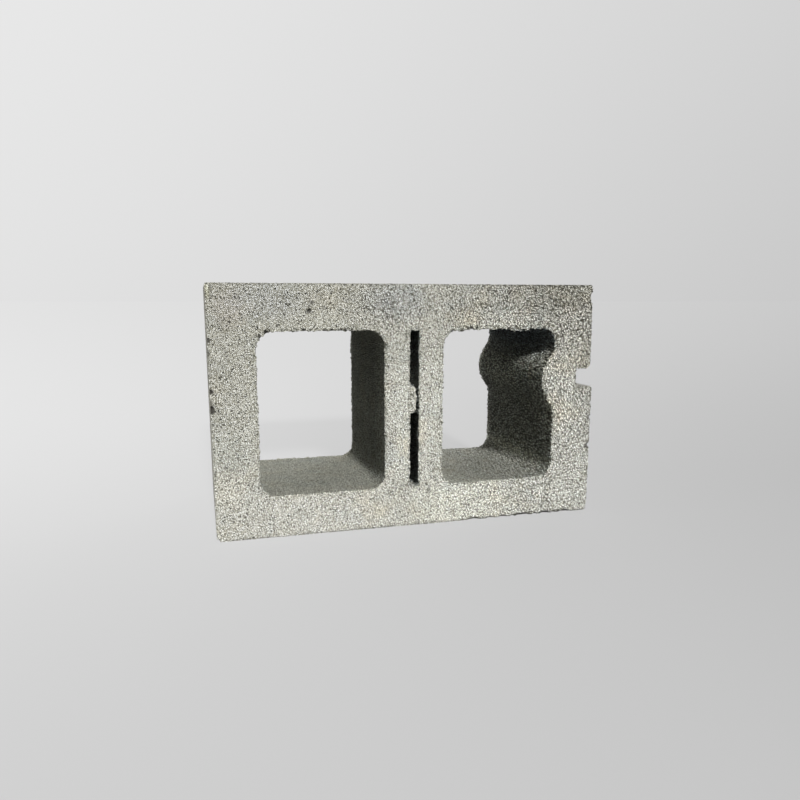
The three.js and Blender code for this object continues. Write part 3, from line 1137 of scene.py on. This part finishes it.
# %% Bump from the same grains, and the concrete goes on
height = times(sand["Dome"], 0.7)
height = times_plus(fine_sand["Dome"], 0.35, height)
height = times_plus(scales["Dome"], by_mask(on_wall, 0.5, 1.6), height)
height = times_plus(pores["Grain"], -0.8, height)
relief = add("ShaderNodeBump", {"Strength": 1.0, "Distance": 1.0 * MM, "Height": height})
tree.links.new(relief.outputs["Normal"], skin.inputs["Normal"])
skin.inputs["Roughness"].default_value = 0.95
skin.inputs["Specular IOR Level"].default_value = 0.3

block.data.materials.clear()
block.data.materials.append(concrete)
print("concrete has", len(tree.nodes), "nodes")

# %% [markdown]
# ## The studio
#
# The floor is one big pale disc. For the lamps it is plain matt paint. For the camera it
# also glows a little, so that it reads as a pale sheet with no horizon, while the block's
# shadow still falls on it. The world behind it has the same tone. Both take that tone from
# one group, which lets it fall off gently across the view, as light in a studio does.

# %% One tone for floor and world
SHEET_TONE = 0.63
LEFT_TO_RIGHT, BACK_TO_FRONT, UP = 0.28, 0.08, 0.27  # how much the tone changes each way
TURNED = math.radians(15.81)  # the way the camera looks, right of +Y
NEAR_RADIUS = 0.6  # nearer to the block than about this, the floor's tone evens out

inputs = {"Toward": None, "Soften": 0.0}
tone_group, given, result = new_group("studio_tone", inputs, ("Tone",))
length = vector_node("LENGTH", given["Toward"])
squares = [times(side, side) for side in (length, given["Soften"])]
reach = math_node("SQRT", math_node("ADD", *squares))
change = (
    -LEFT_TO_RIGHT * math.cos(TURNED) + BACK_TO_FRONT * math.sin(TURNED),
    LEFT_TO_RIGHT * math.sin(TURNED) + BACK_TO_FRONT * math.cos(TURNED),
    UP,
)
changed = vector_node("DOT_PRODUCT", given["Toward"], change)
changed = math_node("DIVIDE", changed, reach)
toned = times_plus(changed, SHEET_TONE, SHEET_TONE)
tone_group.links.new(toned, result["Tone"])


def by_looking_rays(tree):
    """1 for the rays that see the background: from the camera, by gloss or through glass."""
    path = add("ShaderNodeLightPath", tree=tree)
    looking = math_node("ADD", path.outputs["Is Camera Ray"], path.outputs["Is Glossy Ray"])
    return math_node("ADD", looking, path.outputs["Is Transmission Ray"], clamp=True)


print(tone_group.name, "group:", len(tone_group.nodes), "nodes")

# %% The floor
FLOOR_RADIUS = 200.0
PAINT_TONE = 0.11  # the share of the floor that shows shadow to the camera
PAINT_LIGHT = 0.667  # how bright the lamps make that paint
BOUNCE_TONE = 0.15  # how pale the paint is for the light that bounces off it

bpy.ops.object.select_all(action="DESELECT")
bpy.ops.mesh.primitive_circle_add(vertices=96, radius=FLOOR_RADIUS, fill_type="NGON")
floor = bpy.context.object
floor.name = "studio_floor"

sheet = bpy.data.materials.new("floor_paint")
sheet.use_nodes = True
tree = sheet.node_tree
tree.nodes.remove(tree.nodes["Principled BSDF"])
spot = add("ShaderNodeTexCoord", tree=tree).outputs["Object"]
tone = place(tone_group, {"Toward": spot, "Soften": NEAR_RADIUS})["Tone"]
glow = math_node("SUBTRACT", tone, PAINT_TONE * PAINT_LIGHT)
seen_glow = add("ShaderNodeEmission", {"Strength": glow})
seen_paint = add("ShaderNodeBsdfDiffuse", {"Color": rgba(PAINT_TONE)}, tree)
seen = add("ShaderNodeAddShader", {0: seen_paint.outputs[0], 1: seen_glow.outputs[0]})
plain = add("ShaderNodeBsdfDiffuse", {"Color": rgba(BOUNCE_TONE)}, tree)
inputs = {0: by_looking_rays(tree), 1: plain.outputs[0], 2: seen.outputs[0]}
either = add("ShaderNodeMixShader", inputs)
tree.links.new(either.outputs[0], tree.nodes["Material Output"].inputs["Surface"])
floor.data.materials.append(sheet)
print("floor:", 2 * FLOOR_RADIUS, "m across")

# %% The world
AMBIENT = 0.12  # what the world gives to every ray that isn't looking at it

world = bpy.data.worlds.new("studio")
world.use_nodes = True
bpy.context.scene.world = world
tree = world.node_tree
direction = add("ShaderNodeTexCoord", tree=tree).outputs["Generated"]
tone = place(tone_group, {"Toward": direction})["Tone"]
mixed = add("ShaderNodeMix", {"Factor": by_looking_rays(tree), "A": AMBIENT, "B": tone})
tree.links.new(mixed.outputs["Result"], tree.nodes["Background"].inputs["Strength"])
tree.nodes["Background"].inputs["Color"].default_value = rgba(1)
print("ambient light:", AMBIENT)

# %% [markdown]
# ## Lamps
#
# A key lamp high in front draws the grains out, and throws the shadow of the upper shell
# into the cores. It is kept small, so that the shadow has a clear edge. A weaker one from
# the left lights the plain end. It comes in nearly level and nearly square to the block,
# so that little of it gets into the cores. A wide one from behind and to the right keeps
# the back bed and the grooved end from going black.


# %% Key lamp and fills
def lamp(name, toward, strength, spread):
    """A far lamp in this direction from the block, this many degrees wide."""
    data = bpy.data.lights.new(name, "SUN")
    data.energy = strength
    data.angle = math.radians(spread)
    made = bpy.data.objects.new(name, data)
    made.rotation_euler = Vector(toward).to_track_quat("Z", "Y").to_euler()
    bpy.context.scene.collection.objects.link(made)
    return made


lamp("key", toward=(0.0, -1.0, 0.5), strength=3.6, spread=5)
lamp("left_fill", toward=(-1.0, 0.03, 0.05), strength=1.5, spread=8)
lamp("back_fill", toward=(0.8, 0.9, 0.1), strength=2.2, spread=40)
print("lamps:", len(bpy.data.lights))

# %% [markdown]
# ## Camera and view
#
# A slightly wide lens stands in front of the block and a little to its left, about as high
# as its top. It is turned to the right and tipped down a little, and a small vertical
# shift then sets the block in the middle of the picture.

# %% Camera, and a plain view transform
TIPPED = 10.65  # degrees below level

camera_data = bpy.data.cameras.new("camera")
camera_data.lens = 31.38
camera_data.shift_y = 0.0395
camera = bpy.data.objects.new("camera", camera_data)
camera.location = (-0.20335, -0.75815, 0.2285)
camera.rotation_euler = (math.radians(90 - TIPPED), 0, -TURNED)
bpy.context.scene.collection.objects.link(camera)
bpy.context.scene.camera = camera
bpy.context.scene.view_settings.view_transform = "Standard"
print("camera at", [round(at, 3) for at in camera.location])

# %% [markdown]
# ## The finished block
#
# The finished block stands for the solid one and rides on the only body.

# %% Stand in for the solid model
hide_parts("concrete_block")
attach(block, "root")
